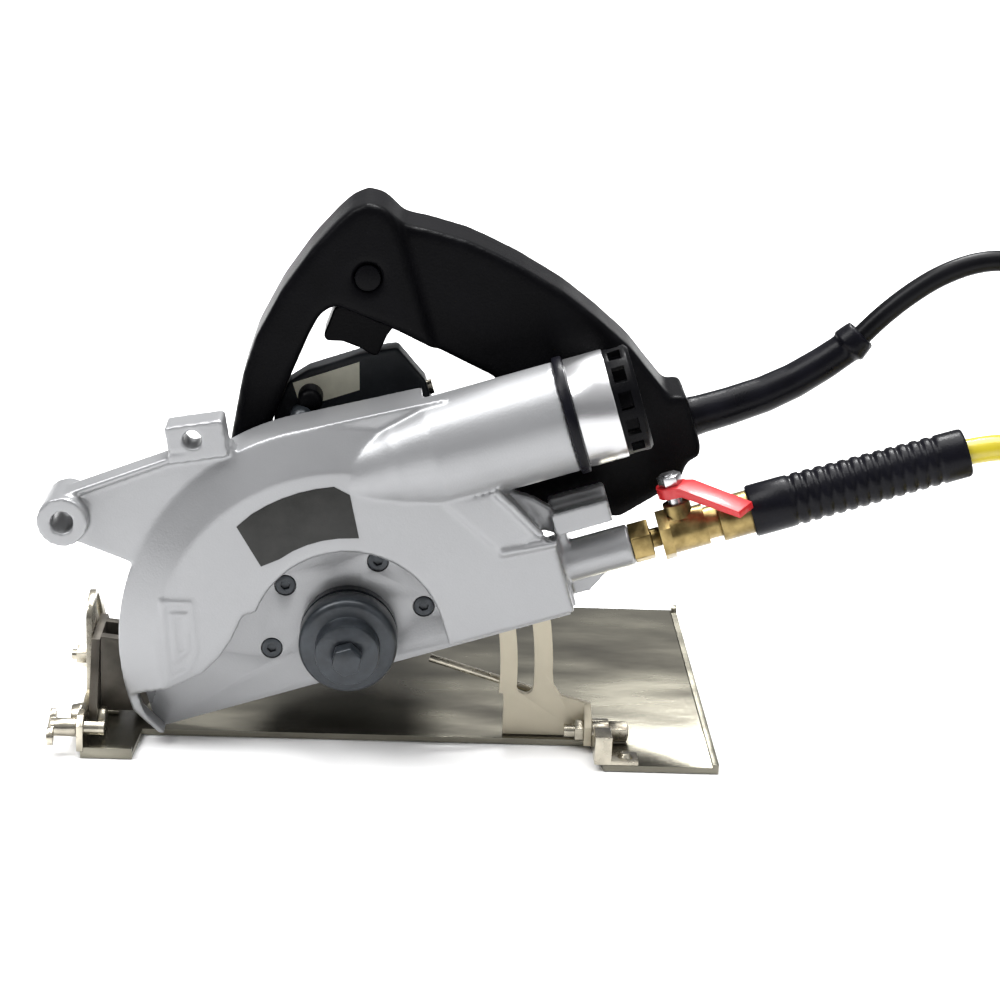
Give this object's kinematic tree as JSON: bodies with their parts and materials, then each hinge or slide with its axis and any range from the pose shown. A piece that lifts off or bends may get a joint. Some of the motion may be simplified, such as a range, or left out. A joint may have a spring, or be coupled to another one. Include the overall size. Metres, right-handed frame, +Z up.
{
  "type": "trim saw",
  "caption": "Hand-held wet trim saw for stone: cast blade guard, tilting steel base, black loop handle, air duct, brass water tap and hose.",
  "frame": {"origin": "centre of the underside of the sole plate", "axes": "+X from the front of the saw to the rear, where the cord and hose leave; +Y toward the motor; +Z up"},
  "size_m": [0.5004, 0.2556, 0.1981],
  "materials": {
    "zinc_steel": "zinc plated, dull",
    "sole_steel": "plated sheet, dull",
    "bracket_black": "black, satin",
    "quadrant_zinc": "yellowish plating",
    "cast_silver": "sprayed silver over casting, satin",
    "black_screws": "black oxide",
    "shaft_steel": "ground",
    "core_steel": "laminated",
    "copper_bars": "copper",
    "fan_plastic": "moulded",
    "black_plastic": "fine texture",
    "carbon": "carbon",
    "label_ivory": "printed film, blank",
    "badge_grey": "blank plate",
    "black_rubber": "moulded",
    "sleeve_silver": "turned",
    "brass_fittings": "turned and cast",
    "red_enamel": "dipped, glossy",
    "cord_rubber": "smooth",
    "yellow_hose": "smooth, glossy"
  },
  "bodies": {
    "base": {"sole_plate": "sole_steel", "bevel_quadrant": "zinc_steel", "rear_pivot_lug": "zinc_steel", "base_screws": "zinc_steel"},
    "guide_screw": {"guide_wing_screw": "zinc_steel"},
    "bevel_frame": {"front_bracket": "bracket_black", "frame_bolts": "zinc_steel", "depth_quadrant": "quadrant_zinc", "bevel_pivot_pins": "zinc_steel"},
    "lock_nut": {"bevel_lock_nut": "zinc_steel"},
    "depth_lever": {"depth_lock_lever": "zinc_steel"},
    "spindle_set": {"spindle": "shaft_steel", "spindle_gear": "shaft_steel", "inner_flange": "black_screws", "outer_flange": "black_screws", "flange_bolt": "black_screws"},
    "armature": {"armature_shaft": "shaft_steel", "armature_core": "core_steel", "commutator": "copper_bars", "cooling_fan": "fan_plastic"},
    "trigger_body": {"trigger": "black_plastic"},
    "button_body": {"lock_button": "black_plastic"},
    "valve_handle": {"valve_stem": "shaft_steel", "valve_lever": "red_enamel"},
    "saw": {"guard_shell": "cast_silver", "front_boss_arm": "cast_silver", "inner_guard_plate": "cast_silver", "socket_screws": "black_screws", "gear_case": "cast_silver", "depth_stud": "zinc_steel", "ball_bearings": "shaft_steel", "stator": "core_steel", "motor_housing": "black_plastic", "motor_end_cap": "black_plastic", "case_screws": "zinc_steel", "brush_caps": "black_plastic", "carbon_brushes": "carbon", "motor_front_cover": "black_plastic", "rating_label": "label_ivory", "name_badge": "badge_grey", "handle_near_shell": "black_plastic", "handle_far_shell": "black_plastic", "handle_screws": "zinc_steel", "switch_body": "black_plastic", "cord_guard": "black_rubber", "air_duct": "cast_silver", "duct_seal_ring": "black_rubber", "duct_sleeve": "sleeve_silver", "duct_grille": "black_plastic", "water_bracket": "cast_silver", "brass_coupling": "brass_fittings", "valve_body": "brass_fittings", "hose_connector": "brass_fittings", "hose_sleeve": "black_rubber", "power_cord": "cord_rubber", "power_cord_coil": "cord_rubber", "power_plug": "black_rubber", "water_hose": "yellow_hose", "water_hose_coil": "yellow_hose", "hose_fitting": "brass_fittings"}
  },
  "joints": [
    {"name": "bevel_tilt", "type": "hinge", "parent": "base", "child": "bevel_frame", "pos_m": [0, -0.062, 0.007], "axis": [1, 0, 0], "range_deg": [0, 45]},
    {"name": "depth_drop", "type": "hinge", "parent": "bevel_frame", "child": "saw", "pos_m": [-0.094, 0, 0.026], "axis": [0, 1, 0], "range_deg": [-1, 14]},
    {"name": "spindle_spin", "type": "hinge", "parent": "saw", "child": "spindle_set", "pos_m": [-0.0205, -0.06, 0.0436], "axis": [0, 1, 0], "continuous": true},
    {"name": "armature_spin", "type": "hinge", "parent": "saw", "child": "armature", "pos_m": [-0.02227, 0, 0.062], "axis": [0, 1, 0], "continuous": true},
    {"name": "trigger_squeeze", "type": "hinge", "parent": "saw", "child": "trigger_body", "pos_m": [-0.01136, -0.023, 0.16433], "axis": [0, 1, 0], "range_deg": [0, 7], "stiffness_Nm_per_rad": 2},
    {"name": "lock_button_push", "type": "slide", "parent": "saw", "child": "button_body", "axis": [0, 1, 0], "range_m": [0, 0.003], "stiffness_N_per_m": 400},
    {"name": "water_valve_turn", "type": "hinge", "parent": "saw", "child": "valve_handle", "pos_m": [0.09952, -0.062, 0.0868], "axis": [0.309, 0, -0.9511], "range_deg": [0, 90]},
    {"name": "depth_lever_swing", "type": "hinge", "parent": "bevel_frame", "child": "depth_lever", "pos_m": [0.0555, -0.05, 0.0145], "axis": [0, 1, 0], "range_deg": [0, 15]},
    {"name": "bevel_nut_turn", "type": "hinge", "parent": "bevel_frame", "child": "lock_nut", "pos_m": [-0.119, -0.01854, 0.01388], "axis": [1, 0, 0], "range_deg": [-90, 90]},
    {"name": "guide_screw_turn", "type": "hinge", "parent": "base", "child": "guide_screw", "pos_m": [-0.12, -0.076, 0.009], "axis": [1, 0, 0], "continuous": true}
  ],
  "couplings": [
    {"joint": "armature_spin", "follows": "spindle_spin", "ratio": -3.1111}
  ]
}
